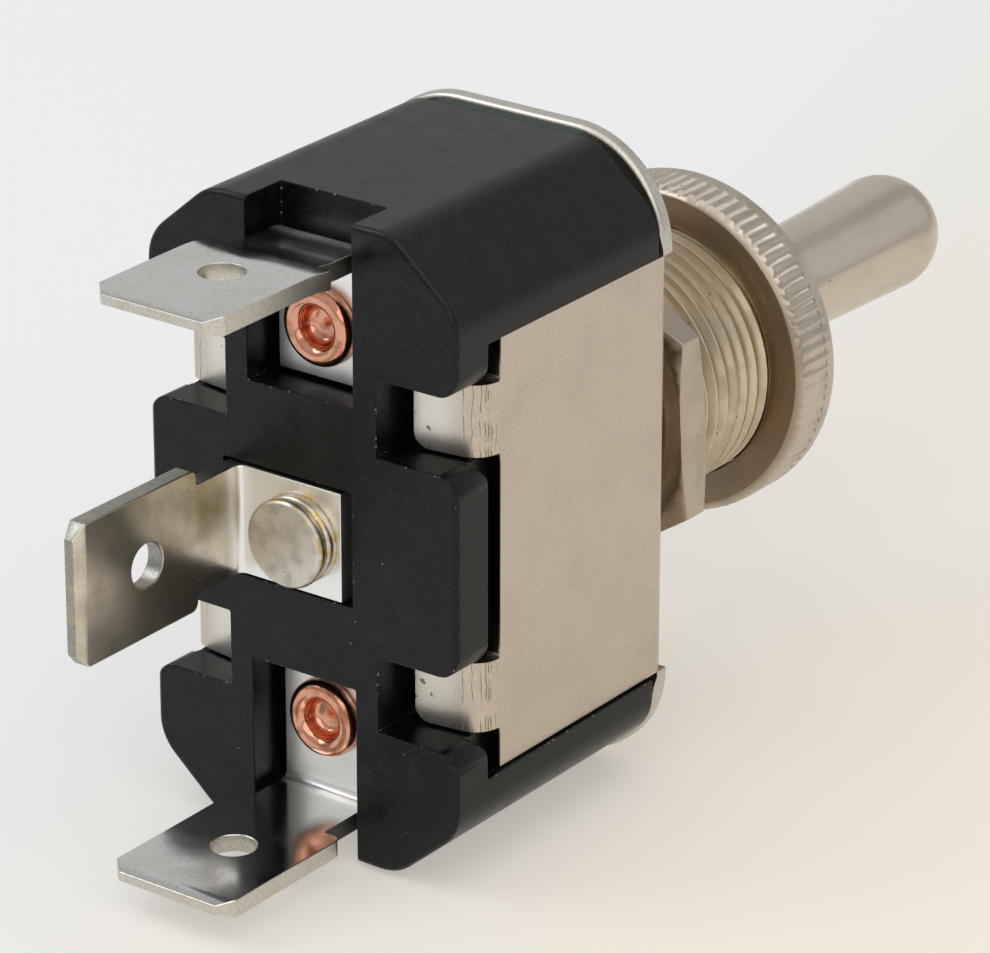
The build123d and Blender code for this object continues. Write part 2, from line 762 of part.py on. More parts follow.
# Common terminal: the same strip, bent so that its tab stands upright beside the post
common_tip_y = -common_tip_depth
common_leg_rear_y = recess_floor_y - strip
with BuildPart() as common_terminal:
    with BuildSketch(Plane.XY):
        with BuildLine():
            outer = FilletPolyline(
                (common_leg_end_x, recess_floor_y),
                (-common_tab_x - strip, recess_floor_y),
                (-common_tab_x - strip, common_tip_y),
                radius=strip_bend + strip,
            )
            inner = FilletPolyline(
                (common_leg_end_x, common_leg_rear_y),
                (-common_tab_x, common_leg_rear_y),
                (-common_tab_x, common_tip_y),
                radius=strip_bend,
            )
            Line(outer @ 0, inner @ 0)
            Line(outer @ 1, inner @ 1)
        make_face()
    extrude(amount=tab_width / 2, both=True)
    tip_face = common_terminal.faces().sort_by(Axis.Y)[0]
    chamfer(tip_face.edges().filter_by(Axis.Z), tip_bevel, tip_bevel_run, reference=tip_face)
    common_shoulder_y = common_tip_y + tab_length
    for edge in (1, -1):
        with BuildSketch(Plane.XY.offset(edge * common_leg_width / 2)):
            with Locations((0, common_shoulder_y + body_depth / 2)):
                Rectangle(body_width, body_depth)
        extrude(amount=edge * tab_width, mode=Mode.SUBTRACT)
    corner_edges = [
        edge
        for edge in common_terminal.edges().filter_by(Axis.X)
        if near(edge.center().Y, common_tip_depth)
    ]
    chamfer(corner_edges, tip_corner)
    shoulder_edges = [
        edge
        for edge in common_terminal.edges().filter_by(Axis.X)
        if near(edge.center().Y, -common_shoulder_y) and near(edge.center().Z, tab_width / 2)
    ]
    fillet(shoulder_edges, shoulder_round)
    with BuildSketch(Plane.YZ):
        with Locations((common_tip_y + tab_hole_from_tip, 0)):
            Circle(tab_hole_diameter / 2)
    extrude(amount=-body_width, mode=Mode.SUBTRACT)
    with BuildSketch(Plane.XZ):
        Circle(post_diameter / 2 + seat_clearance)
    extrude(amount=common_tip_depth, mode=Mode.SUBTRACT)
common_terminal.part.label = "common_terminal"
export_step(common_terminal.part, "parts/common_terminal.step")

# Common post: a turned rivet through the terminal, the body and the cradle
with BuildPart() as common_post:
    head_radius = post_head_diameter / 2
    head_y = common_leg_rear_y - post_head_height
    groove_y = common_leg_rear_y - post_head_height / 2
    with BuildSketch(Plane.XY):
        with BuildLine():
            Polyline(
                (0, head_y),
                (0, cradle_top_y + post_inner_height),
                (head_radius, cradle_top_y + post_inner_height),
                (head_radius, cradle_top_y),
                (post_diameter / 2, cradle_top_y),
                (post_diameter / 2, common_leg_rear_y),
                (head_radius, common_leg_rear_y),
                (head_radius, groove_y + post_groove),
                (head_radius - post_groove, groove_y),
                (head_radius, groove_y - post_groove),
                (head_radius, head_y + post_groove),
                (head_radius - post_groove, head_y),
                close=True,
            )
        make_face()
    revolve(axis=Axis.Y)
common_post.part.label = "common_post"
export_step(common_post.part, "parts/common_post.step")
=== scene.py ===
import math

import bpy
from mathutils import Euler, Matrix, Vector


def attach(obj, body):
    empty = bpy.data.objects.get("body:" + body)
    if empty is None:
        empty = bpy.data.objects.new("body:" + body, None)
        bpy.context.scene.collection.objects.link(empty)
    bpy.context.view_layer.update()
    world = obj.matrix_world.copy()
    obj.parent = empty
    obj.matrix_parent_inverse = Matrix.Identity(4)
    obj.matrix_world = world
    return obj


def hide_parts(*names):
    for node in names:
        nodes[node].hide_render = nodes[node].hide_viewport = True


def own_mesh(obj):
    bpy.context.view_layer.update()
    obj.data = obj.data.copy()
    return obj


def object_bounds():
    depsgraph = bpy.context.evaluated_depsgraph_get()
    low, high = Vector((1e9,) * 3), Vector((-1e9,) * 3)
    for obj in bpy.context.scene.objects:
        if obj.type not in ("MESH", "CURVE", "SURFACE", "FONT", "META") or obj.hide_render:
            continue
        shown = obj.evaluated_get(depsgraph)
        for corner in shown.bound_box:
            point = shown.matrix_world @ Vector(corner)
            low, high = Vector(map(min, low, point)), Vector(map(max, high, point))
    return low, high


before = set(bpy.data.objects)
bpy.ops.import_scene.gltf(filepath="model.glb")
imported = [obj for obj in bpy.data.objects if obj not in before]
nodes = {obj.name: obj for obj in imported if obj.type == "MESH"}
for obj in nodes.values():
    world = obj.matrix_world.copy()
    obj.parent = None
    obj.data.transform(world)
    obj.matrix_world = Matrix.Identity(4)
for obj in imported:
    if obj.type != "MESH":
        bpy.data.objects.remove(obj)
cad_low, cad_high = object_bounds()

# Housing: one black thermoset moulding, open to the front, that carries every other piece.
# It is pressed in a steel mould, so its faces are smooth but not quite flat, and its edges
# are barely broken, with pale specks where flash was rubbed off.
mm = 0.001
merge_reach = 0.001 * mm


class Wire:
    """One socket in a material. Arithmetic on it adds Math nodes, and node() adds any other."""

    def __init__(self, tree, socket):
        self.tree = tree
        self.socket = socket

    def node(self, kind, settings, sockets, out=0):
        """Adds a node, sets its settings, then gives each socket its value or its link."""
        made = self.tree.nodes.new("ShaderNode" + kind)
        for name, value in settings.items():
            setattr(made, name, value)
        for key, value in sockets.items():
            if isinstance(value, Wire):
                self.tree.links.new(value.socket, made.inputs[key])
            else:
                made.inputs[key].default_value = value
        return Wire(self.tree, made.outputs[out]) if made.outputs else None

    def maths(self, operation, first, second):
        return self.node("Math", {"operation": operation}, {0: first, 1: second})

    def __add__(self, other):
        return self.maths("ADD", self, other)

    def __radd__(self, other):
        return self.maths("ADD", other, self)

    def __sub__(self, other):
        return self.maths("SUBTRACT", self, other)

    def __rsub__(self, other):
        return self.maths("SUBTRACT", other, self)

    def __mul__(self, other):
        return self.maths("MULTIPLY", self, other)

    def __rmul__(self, other):
        return self.maths("MULTIPLY", other, self)

    def __gt__(self, other):
        return self.maths("GREATER_THAN", self, other)

    def __lt__(self, other):
        return self.maths("LESS_THAN", self, other)

    def __abs__(self):
        return self.maths("ABSOLUTE", self, 0.0)


def start_finish(name):
    """A new material and the Object coordinates that its patterns are laid out in."""
    material = bpy.data.materials.new(name)
    material.use_nodes = True
    tree = material.node_tree
    tree.nodes.clear()
    return material, Wire(tree, tree.nodes.new("ShaderNodeTexCoord").outputs["Object"])


def end_finish(place, sockets):
    """Closes a material with one Principled shader."""
    shader = place.node("BsdfPrincipled", {}, sockets)
    place.node("OutputMaterial", {}, {"Surface": shader})


def along(place, axis):
    """One of the three coordinates."""
    return place.node("SeparateXYZ", {}, {"Vector": place}, out="XYZ".index(axis))


def grain(place, size, detail=2.0):
    """Cloudy noise from 0 to 1 whose features are about this size."""
    return place.node("TexNoise", {}, {"Vector": place, "Scale": 1 / size, "Detail": detail})


def rise(value, low, high):
    """0 below low, 1 above high, smooth between."""
    settings = {"interpolation_type": "SMOOTHSTEP"}
    return value.node("MapRange", settings, {"Value": value, "From Min": low, "From Max": high})


def tinted(factor, under, over):
    """One colour over another, by a factor."""
    return factor.node("Mix", {"data_type": "RGBA"}, {"Factor": factor, 6: under, 7: over}, out=2)


def dots(place, size, share, radius):
    """Small round spots, in this share of the cells."""
    cells = {"Vector": place, "Scale": 1 / size}
    far = place.node("TexVoronoi", {}, cells)
    chance = along(place.node("TexVoronoi", {}, cells, out=1), "X")
    return rise(radius - far, 0.0, radius * 0.5) * (chance < share)


def bumped(height, depth, under=None):
    """A surface normal raised by a height, where a height of 1 stands this deep."""
    sockets = {"Strength": 1.0, "Distance": depth, "Height": height}
    if under:
        sockets["Normal"] = under
    return height.node("Bump", {}, sockets)


def pick(piece):
    """Makes a piece the only one selected, and the active one."""
    bpy.ops.object.select_all(action="DESELECT")
    piece.select_set(True)
    bpy.context.view_layer.objects.active = piece


def merged_copy(node):
    """A copy of a CAD solid with its loose triangles joined, alone and active."""
    piece = bpy.data.objects.new(node + "_piece", nodes[node].data.copy())
    bpy.context.scene.collection.objects.link(piece)
    pick(piece)
    bpy.ops.object.mode_set(mode="EDIT")
    bpy.ops.mesh.select_all(action="SELECT")
    bpy.ops.mesh.remove_doubles(threshold=merge_reach)
    bpy.ops.mesh.dissolve_limited(angle_limit=math.radians(1.0))
    bpy.ops.object.mode_set(mode="OBJECT")
    piece.data.materials.clear()
    return piece


def even_shading(piece, sharp):
    """Smooth over small angles, with the broad faces kept flat."""
    bpy.ops.object.shade_smooth_by_angle(angle=math.radians(sharp))
    even = piece.modifiers.new("even shading", "WEIGHTED_NORMAL")
    even.keep_sharp = True
    bpy.ops.object.modifier_apply(modifier=even.name)


def break_edges(piece, width, segments=2, sharp=28.0, clamped=True):
    """Rounds the sharp edges, as faces of a second finish. Clamped, short edges hold the width."""
    # The second finish is only given if the piece has a place for it, so two are kept free.
    piece.data.materials.append(None)
    piece.data.materials.append(None)
    bevel = piece.modifiers.new("broken edges", "BEVEL")
    bevel.width = width
    bevel.segments = segments
    bevel.limit_method = "ANGLE"
    bevel.angle_limit = math.radians(sharp)
    bevel.use_clamp_overlap = clamped
    bevel.miter_outer = "MITER_ARC"
    bevel.material = 1
    bpy.ops.object.modifier_apply(modifier=bevel.name)
    even_shading(piece, sharp)


def edged_copy(node, width, segments=2, clamped=True):
    """A merged copy of a CAD solid with its sharp edges rounded."""
    piece = merged_copy(node)
    break_edges(piece, width, segments, clamped=clamped)
    return piece


def settle(piece, node, body, *finishes):
    """Gives a piece its finishes, and puts it on its body in place of its CAD node."""
    for number, finish in enumerate(finishes):
        if number < len(piece.data.materials):
            piece.data.materials[number] = finish
        else:
            piece.data.materials.append(finish)
    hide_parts(node)
    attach(piece, body)


def black_moulding(name, flash, speck_cell):
    """Speckled black, with specks of rubbed flash in this share of the cells."""
    deep_black = (0.0004, 0.0004, 0.0006, 1)
    speckle_grey = (0.0125, 0.0125, 0.013, 1)
    pale_flash = (0.2, 0.195, 0.185, 1)
    material, place = start_finish(name)
    waves = grain(place, 5.0 * mm, 1.0)
    pebble = grain(place, 0.11 * mm, 3.0)
    haze = rise(grain(place, 1.3 * mm, 5.0), 0.42, 0.72)
    specks = dots(place, speck_cell, flash, 0.42)
    speckle = rise(pebble, 0.44, 0.7)
    tone = tinted(0.3 * haze + 0.7 * speckle, deep_black, speckle_grey)
    tone = tinted(specks, tone, pale_flash)
    normal = bumped(waves, 0.012 * mm)
    normal = bumped(pebble, 0.0012 * mm, normal)
    sheen = 0.25 + 0.08 * haze + 0.1 * pebble
    sockets = {"Base Color": tone, "Roughness": sheen, "Normal": normal}
    sockets["Specular IOR Level"] = 0.27
    end_finish(place, sockets)
    return material


housing = edged_copy("housing", 0.07 * mm, clamped=False)
moulded_face = black_moulding("black_moulding", 0.0006, 0.12 * mm)
moulded_edge = black_moulding("mould_edges", 0.2, 0.15 * mm)
settle(housing, "housing", "body", moulded_face, moulded_edge)

# Contacts, cradle and rocker: silver buttons on a copper arm and on the rivets' inner heads,
# with the arm's pins in a bent brass cradle. They lie closed in the housing.


def end_metal(place, tone, sheen, normal):
    """Closes a material as bare or plated metal."""
    sockets = {"Base Color": tone, "Metallic": 1.0, "Roughness": sheen, "Normal": normal}
    end_finish(place, sockets)


def plain_metal(name, colour, dark, rough, mottle):
    """Metal with darker clouds of about this size."""
    material, place = start_finish(name)
    cloud = rise(grain(place, mottle, 4.0), 0.4, 0.7)
    fine = grain(place, mottle / 12, 3.0)
    tone = tinted(cloud, colour, dark)
    normal = bumped(fine, 0.002 * mm)
    sheen = rough + 0.12 * cloud + 0.06 * fine
    end_metal(place, tone, sheen, normal)
    return material


silver = plain_metal("silver", (0.86, 0.85, 0.82, 1), (0.5, 0.47, 0.42, 1), 0.22, 0.7 * mm)
brass = plain_metal("brass", (0.78, 0.6, 0.3, 1), (0.55, 0.4, 0.19, 1), 0.26, 1.1 * mm)
arm_copper = plain_metal("arm_copper", (0.85, 0.46, 0.32, 1), (0.6, 0.28, 0.17, 1), 0.26, 1.3 * mm)
inner_pieces = {
    "upper_rocker_contact": ("rocker", silver),
    "lower_rocker_contact": ("rocker", silver),
    "upper_fixed_contact": ("body", silver),
    "lower_fixed_contact": ("body", silver),
    "rocker": ("rocker", arm_copper),
    "cradle": ("body", brass),
}
for node, (body, finish) in inner_pieces.items():
    piece = edged_copy(node, 0.05 * mm)
    settle(piece, node, body, finish, finish)

# Outer terminals: tinned brass strip, blanked and bent, with a push-on tab on each.
# Each leg lies in an end slot of the housing, held by a rivet. The blanked edges show brass.


def tinned_strip(name, base, stain, rough, leg_rear):
    """Stained and pitted tin on the tab; the leg in front of it is duller, and painted plain and
    bright as a painted reflection.
    """
    brown_stain = (0.5, 0.43, 0.32, 1)
    dull_grain = (0.42, 0.41, 0.38, 1)
    dark_pit = (0.2, 0.185, 0.16, 1)
    painted_bright_leg = (0.93, 0.925, 0.905, 1)
    leg_rough = 0.3
    material, place = start_finish(name)
    cloud = rise(grain(place, 1.5 * mm, 6.0), 0.36, 0.7)
    swirl = grain(place, 1.8 * mm, 1.0)
    fine = grain(place, 0.12 * mm, 4.0)
    pits = dots(place, 0.34 * mm, 0.14, 0.12)
    behind = -1 * along(place, "Y")
    leg = rise(behind, leg_rear + 1.0 * mm, leg_rear + 0.2 * mm)
    tone = tinted(stain * cloud, base, brown_stain)
    tone = tinted(0.3 * rise(fine, 0.4, 0.7), tone, dull_grain)
    tone = tinted(pits, tone, dark_pit)
    # Painted reflection: the leg is painted plain and bright, as it mirrors the pale floor.
    tone = tinted(leg, tone, painted_bright_leg)
    normal = bumped(swirl, 0.008 * mm)
    normal = bumped(fine - pits, 0.0006 * mm, normal)
    sheen = rough + 0.06 * cloud + 0.05 * fine + (leg_rough - rough) * leg
    end_metal(place, tone, sheen, normal)
    return material


def blanked_edge(name, base, shade):
    """Torn grain on a cut edge, with the brass showing in places."""
    bare_brass = (0.56, 0.44, 0.25, 1)
    material, place = start_finish(name)
    crumbs = grain(place, 0.09 * mm, 4.0)
    brassy = rise(grain(place, 1.1 * mm, 3.0), 0.52, 0.68)
    tone = tinted(rise(crumbs, 0.3, 0.7), base, shade)
    tone = tinted(0.4 * brassy, tone, bare_brass)
    normal = bumped(crumbs, 0.003 * mm)
    end_metal(place, tone, 0.28 + 0.15 * crumbs, normal)
    return material


def select_points(piece, wanted):
    """Goes to edit mode with only the points selected whose place passes a test."""
    bpy.ops.object.mode_set(mode="EDIT")
    bpy.ops.mesh.select_mode(type="VERT")
    bpy.ops.mesh.select_all(action="DESELECT")
    bpy.ops.object.mode_set(mode="OBJECT")
    for vertex in piece.data.vertices:
        vertex.select = wanted(vertex.co)
    bpy.ops.object.mode_set(mode="EDIT")


def paint_faces(piece, finish_number, wanted):
    """Gives another of a piece's finishes to the faces whose middle and normal pass a test."""
    for face in piece.data.polygons:
        if wanted(face.center, face.normal):
            face.material_index = finish_number


outer_leg_rear = 13.76 * mm
outer_hole_y = -20.15 * mm
outer_tip_y = -24.5 * mm
hole_radius = 0.975 * mm
near_hole = 1.1 * hole_radius
blanked_finish = 2


def outer_blanked(middle, normal):
    """Side edges, tip and hole wall of an outer terminal."""
    from_hole = math.hypot(middle.x, middle.y - outer_hole_y)
    in_hole = from_hole < near_hole and abs(normal.z) < 0.5
    return in_hole or abs(normal.x) > 0.7 or middle.y < outer_tip_y


tin = tinned_strip("tinned_strip", (0.72, 0.725, 0.715, 1), 0.15, 0.11, outer_leg_rear)
tin_edge = blanked_edge("blanked_edge", (0.7, 0.68, 0.63, 1), (0.55, 0.525, 0.465, 1))
neck_set_down = 0.4 * mm
neck_front_y = -15.7 * mm
neck_cuts = 12
neck_cut_apart = 0.28 * mm
neck_reach = 3.2 * mm
neck_foot_z = 11.8 * mm
for node in ("upper_terminal", "lower_terminal"):
    piece = merged_copy(node)
    if node == "upper_terminal":
        # Its neck is set down a little between the tab and the bend, and so reflects the slot.
        bpy.ops.object.mode_set(mode="EDIT")
        for step in range(neck_cuts):
            cut_y = neck_front_y - step * neck_cut_apart
            bpy.ops.mesh.select_all(action="SELECT")
            bpy.ops.mesh.bisect(plane_co=(0, cut_y, 0), plane_no=(0, 1, 0))
        bpy.ops.object.mode_set(mode="OBJECT")
        select_points(piece, lambda point: point.z < neck_foot_z)
        bpy.ops.mesh.hide()
        bpy.ops.object.mode_set(mode="OBJECT")
        neck_front = neck_front_y - 0.01 * mm
        select_points(piece, lambda point: point.z > neck_foot_z and point.y > neck_front)
        bpy.ops.transform.translate(
            value=(0, 0, -neck_set_down),
            use_proportional_edit=True,
            proportional_edit_falloff="SMOOTH",
            proportional_size=neck_reach,
        )
        bpy.ops.mesh.reveal(select=False)
        bpy.ops.object.mode_set(mode="OBJECT")
    break_edges(piece, 0.1 * mm, segments=3)
    paint_faces(piece, blanked_finish, outer_blanked)
    settle(piece, node, "body", tin, tin, tin_edge)

# Common terminal and post: the same strip with its tab turned upright, in a shallow recess.
# A turned post with a grooved side rivets it through the housing to the cradle.
common_leg_rear = 15.46 * mm
common_hole_y = -21.45 * mm
common_tip_y = -25.8 * mm


def common_blanked(middle, normal):
    """Side edges, tip and hole wall of the common terminal."""
    from_hole = math.hypot(middle.z, middle.y - common_hole_y)
    in_hole = from_hole < near_hole and abs(normal.x) < 0.5
    return in_hole or abs(normal.z) > 0.7 or middle.y < common_tip_y


stained_tin = tinned_strip("stained_tin", (0.7, 0.66, 0.57, 1), 0.7, 0.19, common_leg_rear)
dark_edge = blanked_edge("dark_edge", (0.4, 0.385, 0.35, 1), (0.28, 0.265, 0.235, 1))
piece = edged_copy("common_terminal", 0.08 * mm)
paint_faces(piece, blanked_finish, common_blanked)
settle(piece, "common_terminal", "body", stained_tin, stained_tin, dark_edge)


def post_metal(name):
    """Grey pitted metal on the head, worn to yellow on its side behind the rim."""
    light_grey = (0.68, 0.645, 0.57, 1)
    dark_grey = (0.5, 0.46, 0.39, 1)
    yellow_wear = (0.62, 0.42, 0.16, 1)
    dark_pit = (0.2, 0.17, 0.12, 1)
    head_rim = 16.5 * mm
    head_face = 16.58 * mm
    material, place = start_finish(name)
    cloud = rise(grain(place, 0.8 * mm, 5.0), 0.4, 0.7)
    fine = grain(place, 0.06 * mm, 3.0)
    pits = dots(place, 0.3 * mm, 0.25, 0.16)
    face = rise(-1 * along(place, "Y"), head_rim, head_face)
    worn = rise(grain(place, 0.35 * mm, 4.0), 0.45, 0.62) * (1 - face)
    tone = tinted(cloud, light_grey, dark_grey)
    tone = tinted(worn, tone, yellow_wear)
    tone = tinted(pits, tone, dark_pit)
    normal = bumped(fine - pits, 0.0025 * mm)
    sheen = 0.26 + 0.12 * cloud + 0.08 * fine
    end_metal(place, tone, sheen, normal)
    return material


post_finish = post_metal("post_metal")
piece = edged_copy("common_post", 0.09 * mm, segments=3)
settle(piece, "common_post", "body", post_finish, post_finish)

# Rivets: bright copper tube, headed inside the housing under a contact.
# The outer end is rolled over on the terminal's leg into a round bead with a hollow in it.


def bright_copper(name):
    """Bright copper with a few tarnished clouds."""
    clean_copper = (0.76, 0.375, 0.26, 1)
    tarnish = (0.4, 0.17, 0.105, 1)
    material, place = start_finish(name)
    cloud = rise(grain(place, 0.7 * mm, 4.0), 0.42, 0.72)
    fine = grain(place, 0.05 * mm, 3.0)
    tone = tinted(cloud, clean_copper, tarnish)
    normal = bumped(cloud, 0.004 * mm)
    normal = bumped(fine, 0.0005 * mm, normal)
    sheen = 0.11 + 0.1 * cloud + 0.04 * fine
    end_metal(place, tone, sheen, normal)
    return material


rivet_height = 8.87 * mm
hollow_radius = 0.85 * mm
dish_edge_y = -13.62 * mm
dish_edge_near = 0.02 * mm
dish_edge_round = 0.26 * mm


def dish_edge(point):
    """Where the hollow's wall meets its dished floor."""
    from_wall = math.hypot(point.x, abs(point.z) - rivet_height) - hollow_radius
    from_floor = point.y - dish_edge_y
    return abs(from_wall) < dish_edge_near and abs(from_floor) < dish_edge_near


copper = bright_copper("bright_copper")
for node in ("upper_rivet", "lower_rivet"):
    piece = merged_copy(node)
    select_points(piece, dish_edge)
    bpy.ops.mesh.bevel(offset=dish_edge_round, segments=4, affect="EDGES")
    bpy.ops.object.mode_set(mode="OBJECT")
    break_edges(piece, 0.04 * mm)
    settle(piece, node, "body", copper, copper)

# Fibre liner: a dark green card that keeps the live parts off the frame.
# It is trapped between the frame's front plate and the housing.


def stretched(place, x, y, z):
    """Coordinates scaled on each axis, so that a pattern is drawn out or packed."""
    return place.node("VectorMath", {"operation": "MULTIPLY"}, {0: place, 1: (x, y, z)})


def pressed_fibre(name):
    """Matt green card with its fibres pressed flat."""
    dark_green = (0.01, 0.022, 0.02, 1)
    grey_green = (0.026, 0.044, 0.04, 1)
    material, place = start_finish(name)
    weave = grain(stretched(place, 1.0, 3.0, 1.0), 0.16 * mm, 4.0)
    tone = tinted(rise(weave, 0.35, 0.65), dark_green, grey_green)
    normal = bumped(weave, 0.01 * mm)
    end_finish(place, {"Base Color": tone, "Roughness": 0.5 + 0.3 * weave, "Normal": normal})
    return material


fibre = pressed_fibre("pressed_fibre")
piece = edged_copy("fibre_liner", 0.04 * mm)
settle(piece, "fibre_liner", "body", fibre, fibre)

# Frame: one nickel-plated steel sheet, folded over the housing's sides.
# Four tabs are crimped into the rear notches, which cracks the plating in fine lines.


def nickel_sheet(name, base, shade):
    """Warm satin plating, cracked where the tabs are bent and pitted near their ends. The bent tabs
    carry a painted highlight, and the sheared rear edge painted shade.
    """
    painted_tab_highlight = (0.82, 0.79, 0.73, 1)
    crack_brown = (0.12, 0.09, 0.06, 1)
    pit_brown = (0.07, 0.06, 0.045, 1)
    painted_edge_shade = (0.06, 0.05, 0.04, 1)
    crack_apart = 0.34 * mm
    material, place = start_finish(name)
    cloud = rise(grain(place, 2.6 * mm, 4.0), 0.3, 0.8)
    fine = grain(place, 0.13 * mm, 3.0)
    drawn = grain(stretched(place, 1.0, 1.0, 0.12), 0.1 * mm, 2.0)
    across = abs(along(place, "X"))
    behind = -1 * along(place, "Y")
    crimp = rise(behind, 12.0 * mm, 12.4 * mm)
    # Cracks in the plating lie along the bend, so they are counted round it.
    round_bend = (behind - across) * math.sqrt(0.5)
    in_bend = rise(round_bend, 3.0 * mm, 3.4 * mm) * rise(round_bend, 5.1 * mm, 4.6 * mm)
    wander = round_bend + 0.3 * mm * grain(place, 0.9 * mm, 2.0)
    in_lines = {"W": wander, "Scale": 1 / crack_apart, "Detail": 0.0}
    lines = place.node("TexNoise", {"noise_dimensions": "1D"}, in_lines)
    broken = rise(grain(place, 0.8 * mm, 2.0), 0.38, 0.52)
    crack = rise(abs(lines - 0.5), 0.04, 0.0) * in_bend * broken * crimp
    near_end = rise(across, 5.9 * mm, 5.3 * mm) * crimp
    pits = 0.8 * rise(grain(place, 0.42 * mm, 3.0), 0.63, 0.7) * near_end
    sheared = (behind > 12.05 * mm) * (behind < 12.13 * mm) * (across < 7.72 * mm)
    tone = tinted(0.3 * cloud + 0.7 * rise(fine, 0.3, 0.7), base, shade)
    # Painted highlight: the inner part of each crimped tab is painted lighter and whiter.
    tone = tinted(0.8 * rise(across, 7.4 * mm, 5.6 * mm) * crimp, tone, painted_tab_highlight)
    tone = tinted(crack, tone, crack_brown)
    tone = tinted(pits, tone, pit_brown)
    # Painted shade: the sheared rear edge of the side plates is painted near black, as it lies in
    # shadow in the gap.
    tone = tinted(sheared, tone, painted_edge_shade)
    normal = bumped(fine + drawn, 0.0016 * mm)
    normal = bumped(-1 * crack - 0.4 * pits, 0.012 * mm, normal)
    sheen = 0.3 + 0.05 * cloud + 0.06 * fine - 0.06 * crimp
    end_metal(place, tone, sheen, normal)
    return material


sheet_face = nickel_sheet("nickel_sheet", (0.63, 0.55, 0.465, 1), (0.51, 0.445, 0.375, 1))
# The sheet's rounded edges and the plate's rim are painted lighter and cooler, a painted highlight.
sheet_edge = nickel_sheet("sheet_edge_painted_highlight", (0.66, 0.635, 0.585, 1), (0.54, 0.515, 0.465, 1))
sheet_rear = 12.1 * mm
sheet_thickness = 0.65 * mm
near = 0.01 * mm
crimp_sides = (4.6 * mm, 7.75 * mm)
crimp_root_round = 0.6 * mm
crimp_tab_y = -12.5 * mm
crimp_tab_x = 6.5 * mm
crimp_bend = (6.6 * mm, -13.0 * mm)
spring_back = math.radians(7)
plate_overhang = 9.75 * mm
plate_edge_round = 0.24 * mm
highlight_finish = 1


def crimp_root(point):
    """The inside corners between a crimped tab's sides and the rear edge of its side plate."""
    beside_tab = any(abs(abs(point.z) - side) < near for side in crimp_sides)
    return abs(point.y + sheet_rear) < near and beside_tab


def overhang_rear(point):
    """The rear edge of the front plate's overhanging ends."""
    return abs(point.y + sheet_thickness) < near and abs(point.z) > plate_overhang


def overhang_rim(middle, normal):
    """The sheet's edge round the front plate's overhanging ends."""
    at_end = abs(middle.z) > plate_overhang and middle.y > -sheet_thickness
    return at_end and abs(normal.y) < 0.95


piece = merged_copy("frame")
for end in (1, -1):
    select_points(piece, lambda point: end * point.z > 0 and crimp_root(point))
    bpy.ops.mesh.bevel(offset=crimp_root_round, segments=5, affect="EDGES")
    bpy.ops.object.mode_set(mode="OBJECT")
# The front plate's overhanging ends are rounded over at the rear, and given the painted highlight
# of the sheet's edges.
select_points(piece, overhang_rear)
bpy.ops.mesh.bevel(offset=plate_edge_round, segments=4, affect="EDGES")
bpy.ops.object.mode_set(mode="OBJECT")
# The tabs spring back a little after crimping.
for side in (1, -1):
    select_points(
        piece, lambda point: point.y < crimp_tab_y and 0 < side * point.x < crimp_tab_x
    )
    bpy.ops.transform.rotate(
        value=-side * spring_back,
        orient_axis="Z",
        center_override=(side * crimp_bend[0], crimp_bend[1], 0),
    )
    bpy.ops.object.mode_set(mode="OBJECT")
break_edges(piece, 0.09 * mm, segments=3)
paint_faces(piece, highlight_finish, overhang_rim)
settle(piece, "frame", "body", sheet_face, sheet_edge)

# Bushing: a turned and plated brass barrel, spun over behind the frame's front plate.
# A fine thread runs over its whole length, and its mouth is bored wide for the lever's throw.


def from_axis(place):
    """Distance from the bushing's axis."""
    flat = stretched(place, 1.0, 0.0, 1.0)
    return place.node("VectorMath", {"operation": "LENGTH"}, {0: flat}, out=1)


def nickel_turned(name, base, shade, painted_shade):
    """Plating on turned brass, under a brown painted shade and dark reflection that the last
    argument lays out.
    """
    painted_shade_brown = (0.2, 0.155, 0.105, 1)
    painted_shade_amber = (0.3, 0.2, 0.11, 1)
    dark_pit = (0.2, 0.16, 0.11, 1)
    material, place = start_finish(name)
    cloud = rise(grain(place, 1.4 * mm, 5.0), 0.4, 0.7)
    fine = grain(place, 0.08 * mm, 3.0)
    rings = grain(stretched(place, 0.03, 1.0, 0.03), 0.05 * mm, 2.0)
    pits = dots(place, 0.5 * mm, 0.08, 0.13)
    tone = tinted(cloud, base, shade)
    painted_shade_tone = tinted(rise(grain(place, 4.0 * mm, 1.0), 0.4, 0.62), painted_shade_brown, painted_shade_amber)
    # Painted shade: the mask darkens the plating to brown where shade or dark reflections fall.
    tone = tinted(painted_shade(place), tone, painted_shade_tone)
    tone = tinted(pits, tone, dark_pit)
    normal = bumped(fine + rings - pits, 0.0009 * mm)
    sheen = 0.22 + 0.1 * cloud + 0.08 * fine
    end_metal(place, tone, sheen, normal)
    return material


def cut_away(piece, cutter):
    """Takes a cutter's shape out of a piece, and removes the cutter."""
    pick(piece)
    cut = piece.modifiers.new("cut", "BOOLEAN")
    cut.operation = "DIFFERENCE"
    cut.solver = "EXACT"
    cut.object = cutter
    bpy.ops.object.modifier_apply(modifier=cut.name)
    bpy.data.objects.remove(cutter)


thread_radius = 5.95 * mm
thread_pitch = 25.4 / 32 * mm
thread_depth = 0.43 * mm
thread_turns = 17
thread_start = -0.35 * mm
thread_end = 12.2 * mm
thread_steps = 48
groove_width = 0.72 * mm
groove_beyond = 0.06 * mm
root_share = 0.2

